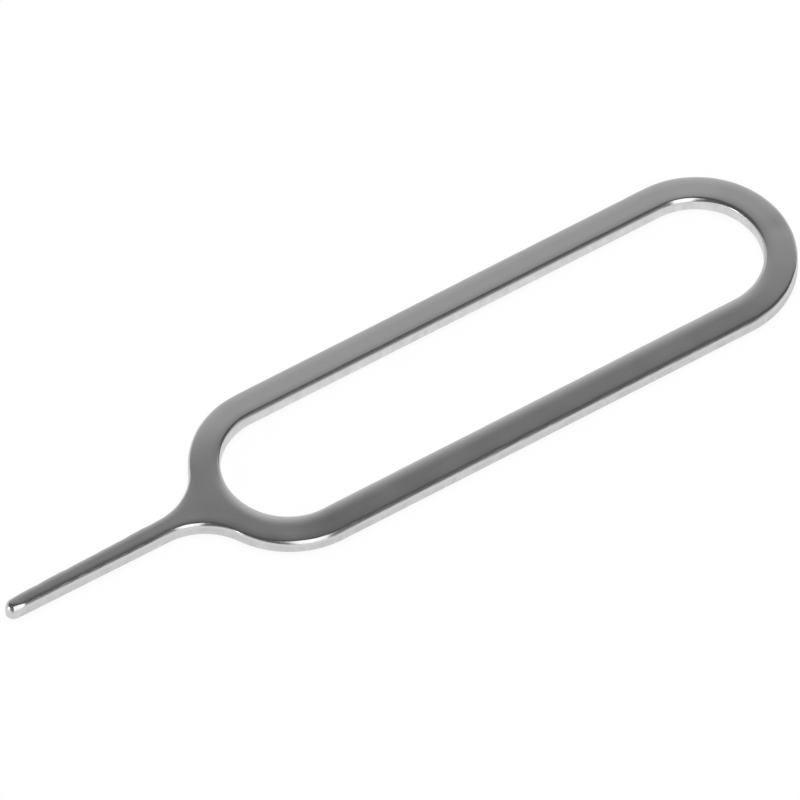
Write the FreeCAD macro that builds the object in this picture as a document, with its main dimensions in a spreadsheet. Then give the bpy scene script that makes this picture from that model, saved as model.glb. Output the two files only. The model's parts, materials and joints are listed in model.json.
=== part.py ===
"""SIM tray eject tool: a long ring handle and a tapered pin, blanked in one piece from steel sheet.

Frame: the tool lies flat on z = 0 with +Z up. X runs along the tool, the pin's tip at -X and the ring
at +X, and the origin is under the middle of its length and width. Lengths are in millimetres.
"""

import FreeCAD, Part
import math
import os

import Sketcher

# Driving sizes in millimetres: name, value and what it measures.
SIZES = [
    ("sheet_thickness", 0.80, "steel sheet that the tool is blanked from"),
    ("ring_straight", 24.15, "between the centres of the ring's two round ends"),
    ("slot_width", 6.70, "clear width of the slot inside the ring"),
    ("bar_width", 1.65, "width of the bar that forms the ring"),
    ("slot_offset", 0.10, "how far the punched slot sits off the ring's middle, towards +Y"),
    ("pin_length", 11.50, "from the ring's round end to the pin's tip"),
    ("pin_root_width", 1.14, "width of the pin where its sides run into the ring's bar"),
    ("pin_tip_width", 0.84, "width of the pin at its round tip"),
    ("pin_lean", 0.10, "how far the pin's tip has been pushed over, towards -Y"),
    ("neck_radius", 3.30, "concave corner between the pin and the ring"),
    ("rolled_edge_radius", 0.20, "upper edges, drawn down by the blanking punch"),
    ("deburred_edge_radius", 0.05, "lower edges, where tumbling took the burr off"),
]

# Places and radii that several features share, worked out from the driving sizes.
RING_RADIUS = "(sizes.slot_width / 2 + sizes.bar_width)"
SLOT_RADIUS = "sizes.slot_width / 2"
FAR_CENTRE_X = "(sizes.ring_straight + sizes.pin_length) / 2"
TIP_CENTRE_X = f"{FAR_CENTRE_X} + {RING_RADIUS} - sizes.pin_tip_width / 2"
PIN_ROOT_X = f"(sizes.ring_straight - sizes.pin_length) / 2 + {RING_RADIUS} - sizes.bar_width / 2"

# Point numbers in a sketch: the start, end and centre of a line or arc, then the sketch's origin and X axis.
START, END, CENTRE = 1, 2, 3
ORIGIN = (-1, 1)
X_AXIS = -1

UP = FreeCAD.Vector(0, 0, 1)
CORNER_ANGLE = math.radians(10)
NEAR_ZERO = 1e-6


def add_sizes(doc):
    """A sheet of the driving sizes, one row each, with the name as the value's alias."""
    sheet = doc.addObject("Spreadsheet::Sheet", "sizes")
    for row, (name, value, meaning) in enumerate(SIZES, start=1):
        sheet.set(f"A{row}", name)
        sheet.set(f"B{row}", str(value))
        sheet.set(f"C{row}", meaning)
        sheet.setAlias(f"B{row}", name)
    doc.recompute()
    return sheet


def add_sketch(body, name):
    """A sketch on the plane that the tool lies on."""
    sketch = body.newObject("Sketcher::SketchObject", name)
    ground = next(plane for plane in body.Origin.OriginFeatures if plane.Role == "XY_Plane")
    sketch.AttachmentSupport = [(ground, "")]
    sketch.MapMode = "FlatFace"
    return sketch


def line(start, end):
    return Part.LineSegment(FreeCAD.Vector(*start, 0), FreeCAD.Vector(*end, 0))


def half_circle(centre, radius, first_angle):
    """Half a turn, counterclockwise from first_angle."""
    circle = Part.Circle(FreeCAD.Vector(*centre, 0), UP, radius)
    return Part.ArcOfCircle(circle, first_angle, first_angle + math.pi)


def constrain(sketch, kind, *where):
    sketch.addConstraint(Sketcher.Constraint(kind, *where))


def dimension(sketch, name, expression, kind, *where):
    """A named dimension that follows the sheet."""
    rough_value = 1.0
    number = sketch.addConstraint(Sketcher.Constraint(kind, *where, rough_value))
    sketch.renameConstraint(number, name)
    sketch.setExpression(f"Constraints.{name}", expression)


def draw_stadium(sketch, radius):
    """Two half circles joined by straight sides, drawn about the origin and then placed by dimensions."""
    sizes = sketch.Document.sizes
    far, near, wide = sizes.ring_straight / 2, -sizes.ring_straight / 2, sizes.slot_width / 2
    far_end = sketch.addGeometry(half_circle((far, 0), wide, -math.pi / 2))
    left_side = sketch.addGeometry(line((far, wide), (near, wide)))
    near_end = sketch.addGeometry(half_circle((near, 0), wide, math.pi / 2))
    right_side = sketch.addGeometry(line((near, -wide), (far, -wide)))
    outline = [far_end, left_side, near_end, right_side]
    for piece, following in zip(outline, outline[1:] + outline[:1]):
        constrain(sketch, "Tangent", piece, END, following, START)
    constrain(sketch, "Equal", far_end, near_end)
    dimension(sketch, "end_radius", radius, "Radius", far_end)
    dimension(sketch, "far_centre", FAR_CENTRE_X, "DistanceX", *ORIGIN, far_end, CENTRE)
    dimension(sketch, "straight", "sizes.ring_straight", "DistanceX", near_end, CENTRE, far_end, CENTRE)
    return near_end, far_end


def draw_ring(sketch):
    """The outside of the ring, on the tool's middle line."""
    for end in draw_stadium(sketch, RING_RADIUS):
        constrain(sketch, "PointOnObject", end, CENTRE, X_AXIS)


def draw_slot(sketch):
    """The slot inside the ring, a little off the middle line."""
    near_end, far_end = draw_stadium(sketch, SLOT_RADIUS)
    dimension(sketch, "near_offset", "sizes.slot_offset", "DistanceY", *ORIGIN, near_end, CENTRE)
    dimension(sketch, "far_offset", "sizes.slot_offset", "DistanceY", *ORIGIN, far_end, CENTRE)


def draw_pin(sketch):
    """Tapered sides from inside the ring's bar to a round tip that leans off the middle line.

    Drawn straight and with its root at the origin, then placed and tapered by dimensions.
    """
    sizes = sketch.Document.sizes
    root, tip, wide = 0, -sizes.pin_length, sizes.pin_tip_width / 2
    left_side = sketch.addGeometry(line((root, wide), (tip, wide)))
    round_tip = sketch.addGeometry(half_circle((tip, 0), wide, math.pi / 2))
    right_side = sketch.addGeometry(line((tip, -wide), (root, -wide)))
    root_end = sketch.addGeometry(line((root, -wide), (root, wide)))
    constrain(sketch, "Tangent", left_side, END, round_tip, START)
    constrain(sketch, "Tangent", round_tip, END, right_side, START)
    constrain(sketch, "Coincident", right_side, END, root_end, START)
    constrain(sketch, "Coincident", root_end, END, left_side, START)
    constrain(sketch, "Symmetric", root_end, START, root_end, END, X_AXIS)
    dimension(sketch, "root_place", PIN_ROOT_X, "DistanceX", root_end, START, *ORIGIN)
    dimension(sketch, "root_width", "sizes.pin_root_width", "DistanceY", root_end, START, root_end, END)
    dimension(sketch, "tip_radius", "sizes.pin_tip_width / 2", "Radius", round_tip)
    dimension(sketch, "tip_place", TIP_CENTRE_X, "DistanceX", round_tip, CENTRE, *ORIGIN)
    dimension(sketch, "lean", "sizes.pin_lean", "DistanceY", round_tip, CENTRE, *ORIGIN)


def pad_sheet(body, name, draw):
    """Raise an outline to the thickness of the sheet."""
    sketch = add_sketch(body, f"{name}_outline")
    draw(sketch)
    pad = body.newObject("PartDesign::Pad", name)
    pad.Profile = sketch
    pad.setExpression("Length", "sizes.sheet_thickness")
    body.Document.recompute()
    return pad


def punch_slot(body, blank):
    """Cut the slot up through the sheet, from the plane that the tool lies on."""
    sketch = add_sketch(body, "slot_outline")
    draw_slot(sketch)
    pocket = body.newObject("PartDesign::Pocket", "slot")
    pocket.Profile = sketch
    pocket.Type = "ThroughAll"
    pocket.Reversed = True
    body.Document.recompute()
    if pocket.Shape.Volume > blank.Shape.Volume - NEAR_ZERO:
        raise RuntimeError("the slot removed nothing")
    return pocket


def round_off(body, name, base, places, radius):
    """Round the named edges, or all edges of the named faces, of the feature before."""
    fillet = body.newObject("PartDesign::Fillet", name)
    fillet.Base = (base, places)
    fillet.setExpression("Radius", radius)
    body.Document.recompute()
    return fillet


def neck_corners(blank):
    """The upright edges where the outline turns a corner, which is where the pin's sides meet the ring."""
    shape = blank.Shape
    corners = []
    for number, edge in enumerate(shape.Edges, start=1):
        if edge.BoundBox.ZLength < NEAR_ZERO:
            continue
        middle = edge.CenterOfMass
        faces = shape.ancestorsOfType(edge, Part.Face)
        first, second = [face.normalAt(*face.Surface.parameter(middle)) for face in faces]
        if first.getAngle(second) > CORNER_ANGLE:
            corners.append(f"Edge{number}")
    return corners


def level_face(feature, height):
    """The flat face that lies at one height."""
    for number, face in enumerate(feature.Shape.Faces, start=1):
        box = face.BoundBox
        if box.ZLength < NEAR_ZERO and abs(box.ZMin - height) < NEAR_ZERO:
            return f"Face{number}"
    raise RuntimeError(f"{feature.Label} has no flat face at z = {height}")


def make_eject_tool(doc, sheet):
    """Ring and pin as one blank, its neck rounded, the slot punched out, then all edges eased."""
    body = doc.addObject("PartDesign::Body", "eject_tool")
    pad_sheet(body, "ring_blank", draw_ring)
    blank = pad_sheet(body, "pin_blank", draw_pin)
    necked = round_off(body, "neck", blank, neck_corners(blank), "sizes.neck_radius")
    slotted = punch_slot(body, necked)
    top = level_face(slotted, sheet.sheet_thickness)
    rolled = round_off(body, "rolled_edges", slotted, [top], "sizes.rolled_edge_radius")
    bottom = level_face(rolled, 0)
    round_off(body, "deburred_edges", rolled, [bottom], "sizes.deburred_edge_radius")
    return body


def check(doc, bodies):
    """Stop if a feature failed or a piece isn't one sound solid."""
    for item in doc.Objects:
        if {"Invalid", "Error"} & set(item.State):
            raise RuntimeError(f"{item.Label} did not recompute: {item.State}")
    for body in bodies:
        shape = body.Shape
        if shape.isNull() or not shape.isValid() or len(shape.Solids) != 1:
            raise RuntimeError(f"{body.Label} is not one valid solid")


def main():
    doc = FreeCAD.newDocument("sim_tray_eject_tool")
    sheet = add_sizes(doc)
    bodies = [make_eject_tool(doc, sheet)]
    check(doc, bodies)
    os.makedirs("parts", exist_ok=True)
    for body in bodies:
        body.Shape.exportStep(f"parts/{body.Label}.step")
        box = body.Shape.optimalBoundingBox(False, False)
        print(f"{body.Label}: {box.XLength:.2f} x {box.YLength:.2f} x {box.ZLength:.2f} mm, "
              f"{body.Shape.Volume:.2f} mm3")


main()
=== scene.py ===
"""SIM tray eject tool: the blanked and tumbled steel tool, and the small studio that it lies in.

The tool lies flat with +Z up, its pin towards -X and its ring towards +X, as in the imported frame.
"""

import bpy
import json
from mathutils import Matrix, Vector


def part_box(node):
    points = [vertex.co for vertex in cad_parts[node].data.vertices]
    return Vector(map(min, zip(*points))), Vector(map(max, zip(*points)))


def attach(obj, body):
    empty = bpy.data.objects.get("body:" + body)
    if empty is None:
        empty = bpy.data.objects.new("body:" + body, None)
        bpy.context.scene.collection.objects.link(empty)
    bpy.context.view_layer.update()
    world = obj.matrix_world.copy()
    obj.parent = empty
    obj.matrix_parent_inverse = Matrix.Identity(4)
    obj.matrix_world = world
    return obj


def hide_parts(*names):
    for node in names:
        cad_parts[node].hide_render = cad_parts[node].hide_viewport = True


bl_info = {
    "name": "SIM tray eject tool",
    "version": (1, 0, 0),
    "blender": (4, 5, 0),
    "location": "3D View > Sidebar > Eject tool",
    "description": "Makes a flat steel eject tool with rolled edges, and a white studio round it",
    "category": "Add Mesh",
}

import collections
import json
import math

import bmesh
import bpy
from bpy.props import FloatProperty, FloatVectorProperty, PointerProperty
from mathutils import Matrix, Vector, noise

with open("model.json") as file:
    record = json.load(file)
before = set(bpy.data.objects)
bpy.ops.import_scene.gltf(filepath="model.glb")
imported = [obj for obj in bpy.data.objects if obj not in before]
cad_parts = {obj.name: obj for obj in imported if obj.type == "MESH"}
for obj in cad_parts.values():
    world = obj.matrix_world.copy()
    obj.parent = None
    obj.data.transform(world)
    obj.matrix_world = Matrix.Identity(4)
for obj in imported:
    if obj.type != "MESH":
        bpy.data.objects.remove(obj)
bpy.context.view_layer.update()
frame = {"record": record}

NODE = "eject_tool"
BODY = "root"
MM = 0.001

LOWEST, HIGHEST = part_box(NODE)
MOUNTS = {mount["name"]: Vector(mount["pos_m"]) for mount in frame["record"]["mounts"]}

Station = collections.namedtuple("Station", "place out")
Edge = collections.namedtuple("Edge", "inset drop cut roll_width roll_depth")
Flank = collections.namedtuple("Flank", "out shoulder foot neck_centre")
Sector = collections.namedtuple("Sector", "middle start full")
Opening = collections.namedtuple("Opening", "azimuth elevation dark_to white_from level")
Lamp = collections.namedtuple("Lamp", "name azimuth elevation distance width height radiance mirrored")

# How finely each stretch of the outline, the bar and the edges are divided.
END_STEPS = 110
SIDE_STEPS = 240
SHOULDER_STEPS = 36
NECK_STEPS = 40
PIN_STEPS = 110
TIP_STEPS = 26
BAR_STEPS = 14
UPPER_STEPS = (12, 6)
LOWER_STEPS = (3, 1)
WALL_STEPS = 6

# Places in the outline's list of stations: where the pin's two sides start and end.
FOOT = END_STEPS + SIDE_STEPS + SHOULDER_STEPS + NECK_STEPS
TIP = FOOT + PIN_STEPS
FAR_FOOT = TIP + TIP_STEPS + PIN_STEPS

# Places of the two faces' rims in a column of points, and of the finishes in the mesh's list.
BOTTOM, TOP = 0, -1
TUMBLED, BLANKED, PIERCED = range(3)

# How an edge is cut, from a round to a straight bevel, and how suddenly the face rolls down to it.
ROUND, STRAIGHT = 1.0, 2.0
ROLL_POWER = 2.5

# The lower edges' roll, as shares of their radius.
LOWER_ROLL_WIDTH, LOWER_ROLL_DEPTH = 2, 0.05

# The face falls evenly over the first share of the bar's width, and eases off over the second.
CROWN_EVEN, CROWN_EASING = 0.75, 0.5

# Sectors seen from above: the middle direction, and the cosines to it where a change starts and is full.
NECK = Sector(Vector((-0.985, -0.174)), 0.0, 0.8)
PRESSED_SPOT = Sector(Vector((0.94, 0.342)), 0.85, 0.97)
BEVELLED = Sector(Vector((0, -1)), 0.5, 1.0)
DEEPEST_ROLL = Sector(Vector((0.966, 0.259)), 0.75, 0.95)

# Shares of the fall that are missing at the neck and in the pressed spot.
NECK_FLATTENING, SPOT_FLATTENING = 0.85, 0.4

# How far the pin's nose is worn at its very end, and how much further towards -Y.
NOSE_END, NOSE_SIDE = 0.75, 0.5

# The pin's share of the bevel that the ring's rim has.
PIN_BEVEL = 0.6

# What the slot's roll gains where its edge faces +Y or +X, and in the sector where it is deepest.
WIDER_TO_Y = 0.15
DEEPER_TO_Y, DEEPER_TO_X, DEEPER_IN_SECTOR = 0.5, 0.25, 0.5

# Sizes of the dents in an edge, what each size adds to the wear, and the wear without them.
DENT_SIZE, NICK_SIZE = 0.9 * MM, 0.35 * MM
DENT_WEAR, NICK_WEAR, EVEN_WEAR = 0.6, 0.25, 0.35

# Shares of the wear on the ring, added on its -Y side, on the pin and taken off on the pin's nose.
RING_WEAR, SIDE_WEAR, PIN_WEAR, NOSE_SPARED = 0.25, 0.5, 0.8, 0.7

# Shares of the thickness where wear starts and is full.
WEAR_FROM, WEAR_FULL = 0.5, 0.9

# How upright the surface's normal is on a rolled edge and on the level face.
EDGE_LEVEL, FACE_LEVEL = 0.7, 0.985

# The range that one noise pattern spans, and the range of the sheared wall's patterns added up.
NOISE_LOW, NOISE_HIGH = 0.3, 0.7
WALL_LOW, WALL_HIGH = 0.4, 1.6

# Painted reflection of the lit paper that the lower wall mirrors: the wall is painted lightest up to the
# first height and least light from the second on.
PAINTED_LIGHT_BOTTOM_TO, PAINTED_LIGHT_TOP_FROM = 0.1 * MM, 0.55 * MM
PAINTED_LIGHT_AT_BOTTOM, PAINTED_LIGHT_AT_TOP = 0.3, 0.05

# The wall's darkest and lightest tones, as shares of its colour.
WALL_DARKEST, WALL_LIGHTEST = 0.84, 1.2

# Share of plain white in what is seen of the paper. The rest is lit paper, which keeps the tool's shadow.
PAPER_WHITE = 0.9

# Half the width of the paper in metres, so that its edge is out of sight.
PAPER_HALF_WIDTH = 2.0

# Dark places in the white tent: the way to the middle and the reach of each in degrees, and its brightness.
OPENINGS = (
    Opening(-123.7, 59, 63.4, 77.4, 0.135),
    Opening(-20, 25, 20, 40, 0.12),
)

# Lamps: the way to each in degrees, its distance and size in metres, how bright its surface is, and whether
# the steel mirrors it.
LAMPS = (
    Lamp("ceiling_lamp", 56, 75, 0.8, 0.5, 0.5, 6.7, False),
    Lamp("right_lamp", -101, 31, 0.4, 0.21, 0.44, 1.8, True),
    Lamp("left_lamp", 184, 10, 0.4, 0.12, 0.12, 5.0, True),
)

# The camera's sensor in millimetres, and how near and far it sees in metres.
SENSOR_WIDTH = 36
CLIP_NEAR, CLIP_FAR = 0.1, 20


def linear(hex_colour):
    """An sRGB colour such as #c8c8c6 as linear red, green and blue."""
    channels = [int(hex_colour[first:first + 2], 16) / 255 for first in (1, 3, 5)]
    return tuple(c / 12.92 if c <= 0.04045 else ((c + 0.055) / 1.055) ** 2.4 for c in channels)


def length(name, description, default):
    """A size in metres that shows in the scene's length unit."""
    return FloatProperty(name=name, description=description, default=default, unit="LENGTH", precision=5)


def angle(name, description, degrees):
    return FloatProperty(name=name, description=description, default=math.radians(degrees), subtype="ANGLE")


def factor(name, description, default):
    """A share from 0 to 1."""
    return FloatProperty(name=name, description=description, default=default, min=0, max=1, subtype="FACTOR")


def bevel(name, description, default):
    """How an edge is cut: 1 is round, 2 a straight bevel."""
    return FloatProperty(name=name, description=description, default=default, min=ROUND, max=STRAIGHT)


def colour(name, description, hex_colour):
    return FloatVectorProperty(name=name, description=description, subtype="COLOR", size=3, min=0, max=1,
                               default=linear(hex_colour))


class EjectToolSizes(bpy.types.PropertyGroup):
    """Sizes of the tool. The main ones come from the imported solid."""

    thickness: length("Sheet thickness", "Steel sheet that the tool is blanked from", HIGHEST.z - LOWEST.z)
    ring_radius: length("Ring radius", "Outside of the ring's round ends", (HIGHEST.y - LOWEST.y) / 2)
    ring_middle: length("Ring middle", "Middle of the ring along the tool", MOUNTS["ring_slot"].x)
    ring_end: length("Ring end", "Outermost point of the ring along the tool", HIGHEST.x)
    bar_width: length("Bar width", "Width of the bar that forms the ring", 1.65 * MM)
    slot_offset: length("Slot offset", "How far the slot sits off the middle line", MOUNTS["ring_slot"].y)
    tip_end: length("Pin tip", "Outermost point of the pin along the tool", LOWEST.x)
    pin_lean: length("Pin lean", "Where the pin's tip lies across the tool", MOUNTS["eject_pin"].y)
    pin_root_width: length("Pin root width", "Width of the pin where it runs into the bar", 1.14 * MM)
    pin_tip_width: length("Pin tip width", "Width of the pin at its round tip", 0.84 * MM)
    neck_radius: length("Neck radius", "Concave corner between the pin and the ring", 3.3 * MM)
    neck_length: length("Neck length", "From the ring's end to where the pin's own edges begin", 2 * MM)
    rim_inset: length("Rim edge width", "Rounding of the outline's upper edge, across the face", 0.112 * MM)
    rim_drop: length("Rim edge height", "Rounding of the outline's upper edge, down the wall", 0.205 * MM)
    nose_inset: length("Nose width", "Rounding of the pin's worn tip, across the face", 0.4 * MM)
    nose_drop: length("Nose height", "Rounding of the pin's worn tip, down the wall", 0.6 * MM)
    nose_start: length("Nose start", "From the tip to where the pin's worn nose starts", 0.87 * MM)
    nose_full: length("Full nose", "From the tip to where the pin's nose is fully worn", 0.4 * MM)
    scuff_start: length("Scuff start", "From the tip to where the pin's scuffs start", 1.2 * MM)
    slot_inset: length("Slot edge width", "Rounding of the slot's upper edge, across the face", 0.143 * MM)
    slot_drop: length("Slot edge height", "Rounding of the slot's upper edge, down the wall", 0.13 * MM)
    rim_bevel_inset: length("Rim bevel width", "Rim edge where it faces -Y, across the face", 0.178 * MM)
    rim_bevel_drop: length("Rim bevel height", "Rim edge where it faces -Y, down the wall", 0.285 * MM)
    rim_bevel: bevel("Rim bevel", "Cut of the rim edge where it faces -Y, from round to straight", 1.33)
    slot_bevel_inset: length("Slot bevel width", "Slot edge where it faces -Y, across the face", 0.132 * MM)
    slot_bevel_drop: length("Slot bevel height", "Slot edge where it faces -Y, down the wall", 0.205 * MM)
    slot_bevel: bevel("Slot bevel", "Cut of the slot edge where it faces -Y, from round to straight", 1.6)
    slot_end_inset: length("Slot end width", "Further rounding of the slot's far end", 0.05 * MM)
    wear: length("Edge wear", "How far dents and wear take the upper edge in", 0.06 * MM)
    lower_edge_radius: length("Lower edge radius", "Rounding of the lower edges", 0.05 * MM)
    slot_roll_width: length("Slot roll width", "How far the face rolls down beside the slot", 0.64 * MM)
    slot_roll_depth: length("Slot roll depth", "How deep the face rolls down beside the slot", 0.0245 * MM)
    rim_roll_width: length("Rim roll width", "How far the face rolls down beside the outline", 0.58 * MM)
    rim_roll_depth: length("Rim roll depth", "How deep the face rolls down beside the outline", 0.0125 * MM)
    pin_roll_width: length("Pin roll width", "How far the pin's face rolls down at its sides", 0.41 * MM)
    pin_roll_depth: length("Pin roll depth", "How deep the pin's face rolls down at its sides", 0.021 * MM)
    far_crown: length("Far crown", "How far the face falls towards the outside, far end", 0.037 * MM)
    neck_crown: length("Neck crown", "How far the face falls towards the outside, neck end", 0.046 * MM)
    waviness: length("Waviness", "How far the face rises and falls along the bar", 0.003 * MM)
    wave_length: length("Wave length", "From one rise of the face to the next", 4 * MM)
    pin_twist: angle("Pin twist", "How far the pin's face is turned towards -Y", 0.58)
    twist_axis: length("Twist axis", "Where the turned face keeps its height, across the tool", 2.4 * MM)


class EjectToolFinish(bpy.types.PropertyGroup):
    """Colours, polish and patterns of the steel and the paper."""

    steel: colour("Steel", "Bare stainless steel of the face", "#d0d0d0")
    # Painted shade: the outside wall is a darker grey than the slot's wall, for the shaded paper that it
    # mirrors.
    shaded_blanked_wall: colour("Blanked wall", "Sheared steel round the outside", "#c8c8c8")
    pierced_wall: colour("Pierced wall", "Sheared steel inside the slot", "#d1d1d1")
    paper: colour("Paper", "White paper that the tool lies on", "#f4f4f4")
    face_roughness: factor("Face roughness", "Satin of the tumbled face", 0.21)
    face_unevenness: factor("Face unevenness", "How far the face's roughness goes up and down", 0.02)
    edge_roughness: factor("Edge roughness", "Grain of the edges that the punch stretched", 0.25)
    nose_scuffs: factor("Nose scuffs", "Roughness that use has added to the pin's nose", 0.03)
    wall_roughness: factor("Wall roughness", "Grain of the sheared wall", 0.45)
    wall_unevenness: factor("Wall unevenness", "How far the wall's roughness goes up and down", 0.05)
    cloud_size: length("Cloud size", "Patches of the face that are polished more or less", 1.4 * MM)
    grain_size: length("Grain size", "Marks that tumbling leaves in the face", 0.16 * MM)
    grain_height: length("Grain height", "How high the tumbled grain stands", 0.001 * MM)
    streak_width: length("Streak width", "Upright marks that shearing leaves in the wall", 0.2 * MM)
    streak_length: length("Streak length", "How far a streak runs up the wall", 0.9 * MM)
    streak_depth: length("Streak depth", "How deep a streak is cut into the wall", 0.004 * MM)
    patch_size: length("Patch size", "Torn and rubbed patches along the wall", 0.7 * MM)


class EjectToolStudio(bpy.types.PropertyGroup):
    """Where the camera stands and how it sees."""

    azimuth: angle("Camera azimuth", "Round the tool, 0 looking along +Y", -33.397)
    elevation: angle("Camera elevation", "Above the paper", 52.854)
    roll: angle("Camera roll", "Turn of the picture about its middle", 0.857)
    distance: length("Camera distance", "From the aimed point to the camera", 854.9 * MM)
    aim_right: length("Aim right", "Aimed point, to the right of the origin in the picture", 0.1604 * MM)
    aim_up: length("Aim up", "Aimed point, above the origin in the picture", 0.8195 * MM)
    lens: FloatProperty(name="Lens", description="Focal length on a 36 mm sensor", default=776.9,
                        subtype="DISTANCE_CAMERA")


def between(first, second, share):
    return first + (second - first) * share


def clamped(share):
    return min(max(share, 0.0), 1.0)


def smooth(share):
    """A soft step from 0 to 1."""
    share = clamped(share)
    return share * share * (3 - 2 * share)


def share_in(sector, direction):
    """How far a direction in the plan lies in a sector: 0 outside it, 1 in its middle."""
    return smooth((direction.dot(sector.middle) - sector.start) / (sector.full - sector.start))


def turned(direction, turn):
    """A direction in the plan, turned counterclockwise."""
    cosine, sine = math.cos(turn), math.sin(turn)
    return Vector((direction.x * cosine - direction.y * sine, direction.x * sine + direction.y * cosine))


def heading(direction):
    return math.atan2(direction.y, direction.x)


def line_stations(start, end, out, steps):
    """Stations from the start up to, but not including, the end."""
    return [Station(start.lerp(end, step / steps), out) for step in range(steps)]


def arc_stations(centre, radius, first, turn, steps):
    """Stations round an arc, up to but not including its end.

    A clockwise arc is hollow, so the metal is outside it.
    """
    stations = []
    for step in range(steps):
        ray = turned(Vector((1, 0)), first + turn * step / steps)
        stations.append(Station(centre + ray * radius, ray if turn > 0 else -ray))
    return stations


class Plan:
    """The tool's outlines seen from above."""

    def __init__(self, sizes):
        self.sizes = sizes
        self.far_centre = Vector((sizes.ring_end - sizes.ring_radius, 0))
        self.near_centre = Vector((2 * sizes.ring_middle - self.far_centre.x, 0))
        self.slot_radius = sizes.ring_radius - sizes.bar_width
        self.tip_radius = sizes.pin_tip_width / 2
        self.tip_centre = Vector((sizes.tip_end + self.tip_radius, sizes.pin_lean))

    def flank(self, side):
        """One side of the pin and the neck that joins it to the ring."""
        sizes = self.sizes
        root = Vector((self.near_centre.x - sizes.ring_radius + sizes.bar_width / 2,
                       side * sizes.pin_root_width / 2))
        to_tip = self.tip_centre - root
        along = turned(to_tip.normalized(), -side * math.asin(self.tip_radius / to_tip.length))
        out = Vector((side * along.y, -side * along.x))
        start = root + out * sizes.neck_radius - self.near_centre
        reach = start.dot(along)
        span = sizes.ring_radius + sizes.neck_radius
        travel = math.sqrt(reach ** 2 - start.length_squared + span ** 2) - reach
        foot = root + along * travel
        neck_centre = foot + out * sizes.neck_radius
        shoulder = self.near_centre + (neck_centre - self.near_centre) * sizes.ring_radius / span
        return Flank(out, shoulder, foot, neck_centre)

    def outline(self):
        """Stations round the outside, a list for each stretch.

        They run counterclockwise from the far end's -Y side.
        """
        far, near, tip = self.far_centre, self.near_centre, self.tip_centre
        radius, neck_radius, tip_radius = self.sizes.ring_radius, self.sizes.neck_radius, self.tip_radius
        up, down = Vector((0, 1)), Vector((0, -1))
        left, right = self.flank(1), self.flank(-1)
        left_turn = heading(left.shoulder - near) - math.pi / 2
        right_start = heading(right.shoulder - near)
        neck_start_left = heading(left.shoulder - left.neck_centre)
        neck_turn_left = heading(-left.out) - neck_start_left
        neck_turn_right = heading(right.shoulder - right.neck_centre) - heading(-right.out)
        tip_turn = heading(right.out) - heading(left.out) + 2 * math.pi
        return [
            arc_stations(far, radius, -math.pi / 2, math.pi, END_STEPS),
            line_stations(far + up * radius, near + up * radius, up, SIDE_STEPS),
            arc_stations(near, radius, math.pi / 2, left_turn, SHOULDER_STEPS),
            arc_stations(left.neck_centre, neck_radius, neck_start_left, neck_turn_left, NECK_STEPS),
            line_stations(left.foot, tip + left.out * tip_radius, left.out, PIN_STEPS),
            arc_stations(tip, tip_radius, heading(left.out), tip_turn, TIP_STEPS),
            line_stations(tip + right.out * tip_radius, right.foot, right.out, PIN_STEPS),
            arc_stations(right.neck_centre, neck_radius, heading(-right.out), neck_turn_right, NECK_STEPS),
            arc_stations(near, radius, right_start, -math.pi / 2 - right_start, SHOULDER_STEPS),
            line_stations(near + down * radius, far + down * radius, down, SIDE_STEPS),
        ]

    def slot_station(self, place):
        """The station on the slot's edge that lies nearest to a place in the metal."""
        along = min(max(place.x, self.near_centre.x), self.far_centre.x)
        centre = Vector((along, self.sizes.slot_offset))
        ray = (place - centre).normalized()
        return Station(centre + ray * self.slot_radius, -ray)

    def past_slot(self, place):
        """How far a place lies outside the slot's edge."""
        return (place - self.slot_station(place).place).length


def upper_profile(edge, thickness, steps):
    """Inset and height from the wall over the edge to where the face is flat."""
    edge_steps, roll_steps = steps
    profile = []
    for step in range(edge_steps):
        climb = math.pi / 2 * step / edge_steps
        profile.append((edge.inset * (1 - math.cos(climb) ** edge.cut),
                        thickness - edge.drop * (1 - math.sin(climb) ** edge.cut)))
    for step in range(roll_steps + 1):
        inset = edge.inset + (edge.roll_width - edge.inset) * step / roll_steps
        profile.append((inset, thickness))
    return [(inset, height - edge.roll_depth * max(1 - inset / edge.roll_width, 0.0) ** ROLL_POWER)
            for inset, height in profile]


def edge_profile(upper, lower, thickness):
    """Inset and height from the lower face's rim, up the wall, to the upper face's rim.

    Also gives the steps of it that are wall.
    """
    rising = upper_profile(upper, thickness, UPPER_STEPS)
    falling = upper_profile(lower, thickness, LOWER_STEPS)
    bottom = [(inset, thickness - height) for inset, height in reversed(falling)]
    low, high = bottom[-1][1], rising[0][1]
    wall = [(0, low + (high - low) * step / WALL_STEPS) for step in range(1, WALL_STEPS)]
    return bottom + wall + rising, range(len(bottom) - 1, len(bottom) + WALL_STEPS - 1)


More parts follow.
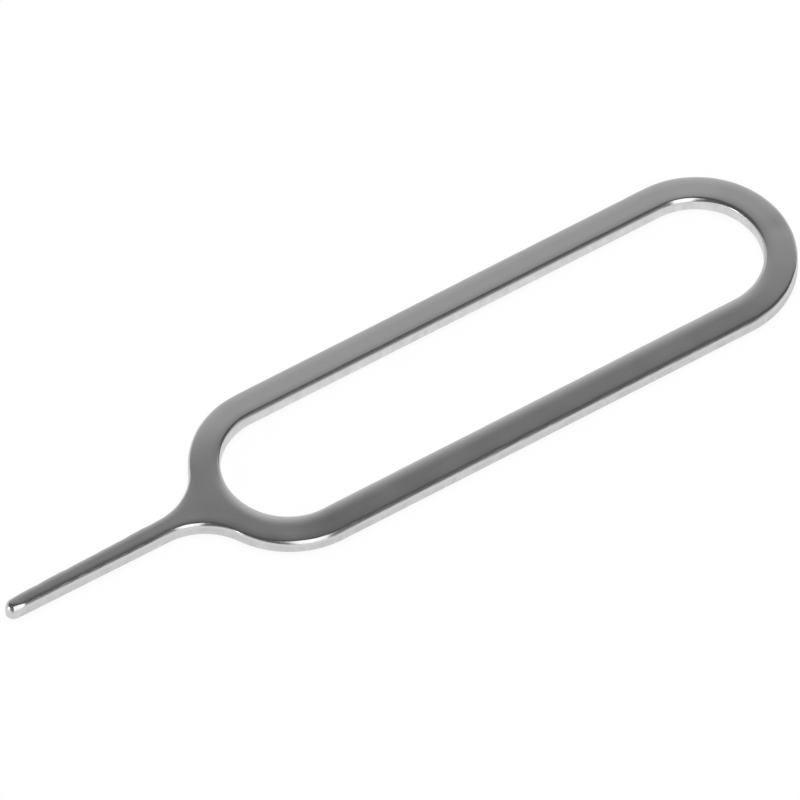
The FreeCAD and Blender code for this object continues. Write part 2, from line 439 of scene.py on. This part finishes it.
class ToolMesh:
    """Quads of the tool: two swept edges, and upper and lower faces that join them."""

    def __init__(self, sizes):
        self.sizes = sizes
        self.plan = Plan(sizes)
        self.bm = bmesh.new()

    def vertex(self, place, height):
        """A point of the tool, lowered where the face falls outwards, waves or is turned at the pin."""
        sizes, plan = self.sizes, self.plan
        along = (place.x - plan.near_centre.x) / (plan.far_centre.x - plan.near_centre.x)
        crown = between(sizes.neck_crown, sizes.far_crown, clamped(along))
        neck = share_in(NECK, (place - plan.near_centre).normalized())
        pressed = share_in(PRESSED_SPOT, (place - plan.far_centre).normalized())
        crown *= 1 - NECK_FLATTENING * neck - SPOT_FLATTENING * pressed
        across = plan.past_slot(place) / sizes.bar_width
        easing = min(max(across - CROWN_EVEN, 0.0), CROWN_EASING)
        fall = crown * (min(across, CROWN_EVEN) + easing - easing * easing / (2 * CROWN_EASING))
        fall += sizes.waviness * (1 + noise.noise(Vector((*place, 0)) / sizes.wave_length)) / 2
        fall += math.tan(sizes.pin_twist) * neck * (sizes.twist_axis - place.y)
        return self.bm.verts.new((place.x, place.y, height * (1 - fall / sizes.thickness)))

    def quads(self, first, second, turned_over, material=TUMBLED, only=None):
        """Faces between two rows of points. The material may be for some steps only."""
        for step in range(len(first) - 1):
            corners = [first[step], second[step], second[step + 1], first[step + 1]]
            face = self.bm.faces.new(reversed(corners) if turned_over else corners)
            face.smooth = True
            face.material_index = material if only is None or step in only else TUMBLED

    def sweep(self, stations, upper, lower, turned_over, material):
        """The edge of the sheet along one outline. Gives the column of points at each station."""
        columns = []
        for station in stations:
            edge = upper(station)
            profile, wall = edge_profile(edge, lower, self.sizes.thickness)
            worn = self.worn(station)
            column = []
            for inset, height in profile:
                lifted = smooth((height / self.sizes.thickness - WEAR_FROM) / (WEAR_FULL - WEAR_FROM))
                inset += worn * lifted * (1 - min(inset / edge.roll_width, 1.0))
                column.append(self.vertex(station.place - station.out * inset, height))
            columns.append(column)
        for column, following in zip(columns, columns[1:] + columns[:1]):
            self.quads(column, following, turned_over, material, wall)
        return columns

    def on_pin(self, place):
        """How far a place belongs to the pin: 0 on the ring, 1 past the neck."""
        neck_start = self.plan.near_centre.x - self.sizes.ring_radius
        return smooth((neck_start - place.x) / self.sizes.neck_length)

    def at_tip(self, place):
        """How far a place belongs to the worn nose: 0 along the pin, 1 round its tip."""
        sizes = self.sizes
        return clamped((sizes.tip_end + sizes.nose_start - place.x) / (sizes.nose_start - sizes.nose_full))

    def rim_edge(self, station):
        """The outline's upper edge: bevelled towards -Y, rolled further on the pin and worn at the nose."""
        sizes, on_pin = self.sizes, self.on_pin(station.place)
        nose = self.at_tip(station.place) * min(NOSE_END - NOSE_SIDE * station.out.y, 1.0)
        facing = share_in(BEVELLED, station.out) * between(1.0, PIN_BEVEL, on_pin)
        inset = between(sizes.rim_inset, sizes.rim_bevel_inset, facing)
        drop = between(sizes.rim_drop, sizes.rim_bevel_drop, facing)
        cut = between(ROUND, sizes.rim_bevel, facing)
        return Edge(between(inset, sizes.nose_inset, nose),
                    between(drop, sizes.nose_drop, nose),
                    between(cut, ROUND, nose),
                    between(sizes.rim_roll_width, sizes.pin_roll_width, on_pin),
                    between(sizes.rim_roll_depth, sizes.pin_roll_depth, on_pin))

    def slot_edge(self, station):
        """The slot's upper edge: bevelled where it faces -Y, rolled further down where it faces +Y and +X."""
        sizes, out = self.sizes, station.out
        facing = share_in(BEVELLED, out)
        deeper = DEEPER_TO_Y * out.y + DEEPER_TO_X * out.x + DEEPER_IN_SECTOR * share_in(DEEPEST_ROLL, out)
        inset = between(sizes.slot_inset, sizes.slot_bevel_inset, facing)
        return Edge(inset + sizes.slot_end_inset * max(-out.x, 0.0),
                    between(sizes.slot_drop, sizes.slot_bevel_drop, facing),
                    between(ROUND, sizes.slot_bevel, facing),
                    sizes.slot_roll_width * (1 + WIDER_TO_Y * out.y),
                    sizes.slot_roll_depth * (1 + deeper))

    def worn(self, station):
        """How far wear has taken the upper edge in: most on the pin and along the -Y side."""
        place = Vector((*station.place, 0))
        dents = DENT_WEAR * noise.noise(place / DENT_SIZE) + NICK_WEAR * noise.noise(place / NICK_SIZE)
        on_side = max(-station.out.y, 0.0) * (place.y < 0)
        on_ring = RING_WEAR + SIDE_WEAR * on_side
        along_pin = PIN_WEAR - NOSE_SPARED * self.at_tip(station.place)
        share = between(on_ring, along_pin, self.on_pin(station.place))
        return self.sizes.wear * share * clamped(EVEN_WEAR + dents)

    def row(self, start, end, steps, height):
        """Points across a face, between two that are there already."""
        first, last = Vector(start.co[:2]), Vector(end.co[:2])
        inside = [self.vertex(first.lerp(last, step / steps), height) for step in range(1, steps)]
        return [start, *inside, end]

    def face(self, outer, inner, level, turned_over):
        """The upper or lower face: a pin and a ring of quads that meet at the neck."""
        height = self.sizes.thickness if level == TOP else 0
        rim = [column[level] for column in outer]
        slot_rim = [column[level] for column in inner]
        sides = zip(rim[FOOT:TIP], reversed(rim[TIP + TIP_STEPS + 1:FAR_FOOT + 1]))
        rows = [self.row(start, end, TIP_STEPS, height) for start, end in sides]
        rows.append(rim[TIP:TIP + TIP_STEPS + 1])
        for row, following in zip(rows, rows[1:]):
            self.quads(row, following, turned_over)
        around = rim[:FOOT] + rows[0] + rim[FAR_FOOT + 1:]
        spokes = [self.row(start, end, BAR_STEPS, height) for start, end in zip(around, slot_rim)]
        for spoke, following in zip(spokes, spokes[1:] + spokes[:1]):
            self.quads(spoke, following, turned_over)

    def build(self):
        """The whole tool as one closed mesh."""
        radius = self.sizes.lower_edge_radius
        lower_edge = Edge(radius, radius, ROUND, LOWER_ROLL_WIDTH * radius, LOWER_ROLL_DEPTH * radius)
        outline = [station for stretch in self.plan.outline() for station in stretch]
        outer = self.sweep(outline, self.rim_edge, lower_edge, False, BLANKED)
        rim = [station.place - station.out * self.rim_edge(station).roll_width for station in outline]
        pin_root = [rim[FOOT].lerp(rim[FAR_FOOT], step / TIP_STEPS) for step in range(1, TIP_STEPS)]
        around = rim[:FOOT + 1] + pin_root + rim[FAR_FOOT:]
        slot = [self.plan.slot_station(place) for place in around]
        inner = self.sweep(slot, self.slot_edge, lower_edge, True, PIERCED)
        self.face(outer, inner, TOP, False)
        self.face(outer, inner, BOTTOM, True)
        self.bm.normal_update()
        mesh = bpy.data.meshes.new("eject_tool_steel")
        self.bm.to_mesh(mesh)
        self.bm.free()
        return mesh


def add_node(tree, kind, settings=None, inputs=None):
    """A node with its settings and links. An input is a value, or the output of another node."""
    node = tree.nodes.new(kind)
    for name, value in (settings or {}).items():
        setattr(node, name, value)
    for name, value in (inputs or {}).items():
        if isinstance(value, bpy.types.NodeSocket):
            tree.links.new(value, node.inputs[name])
        else:
            node.inputs[name].default_value = value
    return node


def new_tree(owner):
    owner.use_nodes = True
    owner.node_tree.nodes.clear()
    return owner.node_tree


def tumbled_stainless_steel(sizes, finish):
    """Stainless sheet after vibratory tumbling: a satin face with faint cloudy patches and a hammered grain.

    The punch stretches the steel where the edges roll down, so it is rougher there. Use has scuffed the
    pin's nose.
    """
    material = bpy.data.materials.new("tumbled_stainless_steel")
    tree = new_tree(material)
    surface = add_node(tree, "ShaderNodeTexCoord")
    clouds = add_node(tree, "ShaderNodeTexNoise", inputs={
        "Vector": surface.outputs["Object"], "Scale": 1 / finish.cloud_size, "Detail": 2.0})
    polish = add_node(tree, "ShaderNodeMapRange", inputs={
        "Value": clouds.outputs["Fac"], "From Min": NOISE_LOW, "From Max": NOISE_HIGH,
        "To Min": finish.face_roughness - finish.face_unevenness,
        "To Max": finish.face_roughness + finish.face_unevenness})
    facing = add_node(tree, "ShaderNodeSeparateXYZ", inputs={"Vector": surface.outputs["Normal"]})
    level = add_node(tree, "ShaderNodeMath", {"operation": "ABSOLUTE"}, {0: facing.outputs["Z"]})
    roughness = add_node(tree, "ShaderNodeMapRange", {"interpolation_type": "SMOOTHSTEP"}, {
        "Value": level.outputs[0], "From Min": EDGE_LEVEL, "From Max": FACE_LEVEL,
        "To Min": finish.edge_roughness, "To Max": polish.outputs["Result"]})
    along = add_node(tree, "ShaderNodeSeparateXYZ", inputs={"Vector": surface.outputs["Object"]})
    scuffs = add_node(tree, "ShaderNodeMapRange", {"interpolation_type": "SMOOTHSTEP"}, {
        "Value": along.outputs["X"],
        "From Min": sizes.tip_end + sizes.nose_full, "From Max": sizes.tip_end + sizes.scuff_start,
        "To Min": finish.nose_scuffs, "To Max": 0.0})
    worn_roughness = add_node(tree, "ShaderNodeMath", {"operation": "ADD"},
                              {0: roughness.outputs["Result"], 1: scuffs.outputs["Result"]})
    # Real tumbling marks are finer still: the grain is drawn coarser so that it shows.
    grain = add_node(tree, "ShaderNodeTexNoise", inputs={
        "Vector": surface.outputs["Object"], "Scale": 1 / finish.grain_size, "Detail": 3.0, "Roughness": 0.6})
    hammered = add_node(tree, "ShaderNodeBump", inputs={
        "Height": grain.outputs["Fac"], "Strength": 1.0, "Distance": finish.grain_height})
    steel = add_node(tree, "ShaderNodeBsdfPrincipled", inputs={
        "Base Color": (*finish.steel, 1), "Metallic": 1.0, "Roughness": worn_roughness.outputs[0],
        "Normal": hammered.outputs["Normal"]})
    add_node(tree, "ShaderNodeOutputMaterial", inputs={"Surface": steel.outputs["BSDF"]})
    return material


def sheared_stainless_steel(name, steel_colour, finish):
    """The cut edge of the sheet: rubbed by the die above and fractured below, then tumbled.

    A matt grey with upright streaks and patches. It is also painted lighter towards the bottom, a painted
    reflection of the lit paper that the lower wall mirrors.
    """
    material = bpy.data.materials.new(name)
    tree = new_tree(material)
    where = add_node(tree, "ShaderNodeTexCoord").outputs["Object"]
    # Real shear marks are finer: the streaks are drawn coarser so that they show.
    streaks_per_metre = (1 / finish.streak_width, 1 / finish.streak_width, 1 / finish.streak_length)
    stretched = add_node(tree, "ShaderNodeMapping", inputs={"Vector": where, "Scale": streaks_per_metre})
    streaks = add_node(tree, "ShaderNodeTexNoise", inputs={
        "Vector": stretched.outputs["Vector"], "Scale": 1.0, "Detail": 3.0, "Roughness": 0.65})
    patches = add_node(tree, "ShaderNodeTexNoise", inputs={
        "Vector": where, "Scale": 1 / finish.patch_size, "Detail": 2.0})
    height = add_node(tree, "ShaderNodeSeparateXYZ", inputs={"Vector": where})
    # Painted reflection: the wall's tone is raised towards the bottom, where the wall mirrors the lit paper.
    painted_reflection = add_node(tree, "ShaderNodeMapRange", inputs={
        "Value": height.outputs["Z"], "From Min": PAINTED_LIGHT_BOTTOM_TO, "From Max": PAINTED_LIGHT_TOP_FROM,
        "To Min": PAINTED_LIGHT_AT_BOTTOM, "To Max": PAINTED_LIGHT_AT_TOP})
    uneven = add_node(tree, "ShaderNodeMath", {"operation": "ADD"},
                      {0: streaks.outputs["Fac"], 1: patches.outputs["Fac"]})
    patches_and_painted_light = add_node(tree, "ShaderNodeMath", {"operation": "ADD"},
                    {0: uneven.outputs[0], 1: painted_reflection.outputs["Result"]})
    share = add_node(tree, "ShaderNodeMapRange", inputs={
        "Value": patches_and_painted_light.outputs[0], "From Min": WALL_LOW, "From Max": WALL_HIGH})
    darkest = [channel * WALL_DARKEST for channel in steel_colour]
    lightest = [channel * WALL_LIGHTEST for channel in steel_colour]
    # The tone mixes random streaks and patches with the painted reflection that lightens the bottom.
    tone = add_node(tree, "ShaderNodeMix", {"data_type": "RGBA"}, {
        "Factor": share.outputs["Result"], "A": (*darkest, 1), "B": (*lightest, 1)})
    roughness = add_node(tree, "ShaderNodeMapRange", inputs={
        "Value": patches_and_painted_light.outputs[0], "From Min": WALL_LOW, "From Max": WALL_HIGH,
        "To Min": finish.wall_roughness + finish.wall_unevenness,
        "To Max": finish.wall_roughness - finish.wall_unevenness})
    grooves = add_node(tree, "ShaderNodeBump", inputs={
        "Height": streaks.outputs["Fac"], "Strength": 1.0, "Distance": finish.streak_depth})
    steel = add_node(tree, "ShaderNodeBsdfPrincipled", inputs={
        "Base Color": tone.outputs["Result"], "Metallic": 1.0, "Roughness": roughness.outputs["Result"],
        "Normal": grooves.outputs["Normal"]})
    add_node(tree, "ShaderNodeOutputMaterial", inputs={"Surface": steel.outputs["BSDF"]})
    return material


class EJECTTOOL_OT_make_tool(bpy.types.Operator):
    """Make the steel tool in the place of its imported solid"""

    bl_idname = "eject_tool.make_tool"
    bl_label = "Make the tool"

    def execute(self, context):
        sizes, finish = context.scene.eject_tool_sizes, context.scene.eject_tool_finish
        mesh = ToolMesh(sizes).build()
        mesh.materials.append(tumbled_stainless_steel(sizes, finish))
        # The outside wall's darker grey is painted shade of the paper that it mirrors.
        mesh.materials.append(sheared_stainless_steel("shaded_blanked_stainless_steel", finish.shaded_blanked_wall, finish))
        mesh.materials.append(sheared_stainless_steel("pierced_stainless_steel", finish.pierced_wall, finish))
        tool = bpy.data.objects.new("eject_tool_steel", mesh)
        context.scene.collection.objects.link(tool)
        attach(tool, BODY)
        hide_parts(NODE)
        return {"FINISHED"}


def white_paper(finish):
    """Matt white paper, lit to white: seen directly or in the steel, it is white with a trace of shadow."""
    material = bpy.data.materials.new("white_paper")
    tree = new_tree(material)
    rays = add_node(tree, "ShaderNodeLightPath")
    seen = add_node(tree, "ShaderNodeMath", {"operation": "MAXIMUM"},
                    {0: rays.outputs["Is Camera Ray"], 1: rays.outputs["Is Glossy Ray"]})
    seen_through = add_node(tree, "ShaderNodeMath", {"operation": "MAXIMUM"},
                            {0: seen.outputs[0], 1: rays.outputs["Is Transmission Ray"]})
    share = add_node(tree, "ShaderNodeMath", {"operation": "MULTIPLY"},
                     {0: seen_through.outputs[0], 1: PAPER_WHITE})
    matt = add_node(tree, "ShaderNodeBsdfDiffuse", inputs={"Color": (*finish.paper, 1)})
    white = add_node(tree, "ShaderNodeEmission", inputs={"Strength": 1.0})
    mixed = add_node(tree, "ShaderNodeMixShader", inputs={
        "Fac": share.outputs[0], 1: matt.outputs[0], 2: white.outputs[0]})
    add_node(tree, "ShaderNodeOutputMaterial", inputs={"Surface": mixed.outputs[0]})
    return material


def from_angles(azimuth, elevation):
    """A direction from two angles in degrees: in the plan, counterclockwise from +X, and above the paper."""
    around, above = math.radians(azimuth), math.radians(elevation)
    level = math.cos(above)
    return Vector((level * math.cos(around), level * math.sin(around), math.sin(above)))


def dim_room(world):
    """A white tent round the tool, with a dark opening overhead towards -Y and a dark doorway towards +X."""
    tree = new_tree(world)
    where = add_node(tree, "ShaderNodeTexCoord").outputs["Generated"]
    levels = []
    for opening in OPENINGS:
        middle = from_angles(opening.azimuth, opening.elevation)
        facing = add_node(tree, "ShaderNodeVectorMath", {"operation": "DOT_PRODUCT"}, {0: where, 1: middle})
        away = add_node(tree, "ShaderNodeMath", {"operation": "ARCCOSINE"}, {0: facing.outputs["Value"]})
        level = add_node(tree, "ShaderNodeMapRange", {"interpolation_type": "SMOOTHSTEP"}, {
            "Value": away.outputs[0], "From Min": math.radians(opening.dark_to),
            "From Max": math.radians(opening.white_from), "To Min": opening.level, "To Max": 1.0})
        levels.append(level.outputs["Result"])
    darker = add_node(tree, "ShaderNodeMath", {"operation": "MINIMUM"}, dict(enumerate(levels)))
    background = add_node(tree, "ShaderNodeBackground", inputs={"Strength": darker.outputs[0]})
    add_node(tree, "ShaderNodeOutputWorld", inputs={"Surface": background.outputs[0]})


class EJECTTOOL_OT_set_stage(bpy.types.Operator):
    """Lay white paper under the tool and set the lamps and the camera"""

    bl_idname = "eject_tool.set_stage"
    bl_label = "Set the stage"

    def execute(self, context):
        scene = context.scene
        self.add_floor(scene)
        scene.world = bpy.data.worlds.new("dim_room")
        dim_room(scene.world)
        for lamp in LAMPS:
            self.add_lamp(scene, lamp)
        self.add_camera(scene)
        scene.view_settings.view_transform = "Standard"
        return {"FINISHED"}

    def add_floor(self, scene):
        half = PAPER_HALF_WIDTH
        corners = [(-half, -half, 0), (half, -half, 0), (half, half, 0), (-half, half, 0)]
        mesh = bpy.data.meshes.new("paper_floor")
        mesh.from_pydata(corners, [], [(0, 1, 2, 3)])
        mesh.materials.append(white_paper(scene.eject_tool_finish))
        floor = bpy.data.objects.new("paper_floor", mesh)
        scene.collection.objects.link(floor)

    def add_lamp(self, scene, lamp):
        """A rectangular lamp that faces the tool. Its power follows from how bright its surface is."""
        light = bpy.data.lights.new(lamp.name, "AREA")
        light.shape = "RECTANGLE"
        light.size, light.size_y = lamp.width, lamp.height
        light.energy = lamp.radiance * math.pi * lamp.width * lamp.height
        placed = bpy.data.objects.new(lamp.name, light)
        towards = from_angles(lamp.azimuth, lamp.elevation)
        placed.location = towards * lamp.distance
        placed.rotation_euler = towards.to_track_quat("Z", "Y").to_euler()
        placed.visible_camera = False
        placed.visible_glossy = lamp.mirrored
        scene.collection.objects.link(placed)

    def add_camera(self, scene):
        studio = scene.eject_tool_studio
        data = bpy.data.cameras.new("camera")
        data.lens = studio.lens
        data.sensor_width = SENSOR_WIDTH
        data.clip_start, data.clip_end = CLIP_NEAR, CLIP_FAR
        camera = bpy.data.objects.new("camera", data)
        level = math.cos(studio.elevation)
        back = Vector((math.sin(studio.azimuth) * level, -math.cos(studio.azimuth) * level,
                       math.sin(studio.elevation)))
        right = Vector((math.cos(studio.azimuth), math.sin(studio.azimuth), 0))
        up = back.cross(right)
        cosine, sine = math.cos(studio.roll), math.sin(studio.roll)
        right, up = right * cosine + up * sine, up * cosine - right * sine
        aim = right * studio.aim_right + up * studio.aim_up
        turn = Matrix((right, up, back)).transposed().to_4x4()
        camera.matrix_world = Matrix.Translation(aim + back * studio.distance) @ turn
        scene.collection.objects.link(camera)
        scene.camera = camera


class EJECTTOOL_PT_panel(bpy.types.Panel):
    """Sizes, finish and studio of the eject tool"""

    bl_idname = "EJECTTOOL_PT_panel"
    bl_label = "Eject tool"
    bl_space_type = "VIEW_3D"
    bl_region_type = "UI"
    bl_category = "Eject tool"

    def draw(self, context):
        layout, scene = self.layout, context.scene
        for group in (scene.eject_tool_sizes, scene.eject_tool_finish, scene.eject_tool_studio):
            box = layout.box()
            for name in group.__annotations__:
                box.prop(group, name)
        layout.operator(EJECTTOOL_OT_make_tool.bl_idname)
        layout.operator(EJECTTOOL_OT_set_stage.bl_idname)


CLASSES = (EjectToolSizes, EjectToolFinish, EjectToolStudio, EJECTTOOL_OT_make_tool, EJECTTOOL_OT_set_stage,
           EJECTTOOL_PT_panel)


def register():
    for cls in CLASSES:
        bpy.utils.register_class(cls)
    bpy.types.Scene.eject_tool_sizes = PointerProperty(type=EjectToolSizes)
    bpy.types.Scene.eject_tool_finish = PointerProperty(type=EjectToolFinish)
    bpy.types.Scene.eject_tool_studio = PointerProperty(type=EjectToolStudio)


def unregister():
    del bpy.types.Scene.eject_tool_studio
    del bpy.types.Scene.eject_tool_finish
    del bpy.types.Scene.eject_tool_sizes
    for cls in reversed(CLASSES):
        bpy.utils.unregister_class(cls)


def main():
    register()
    bpy.ops.eject_tool.set_stage()
    bpy.ops.eject_tool.make_tool()


if __name__ == "__main__":
    main()
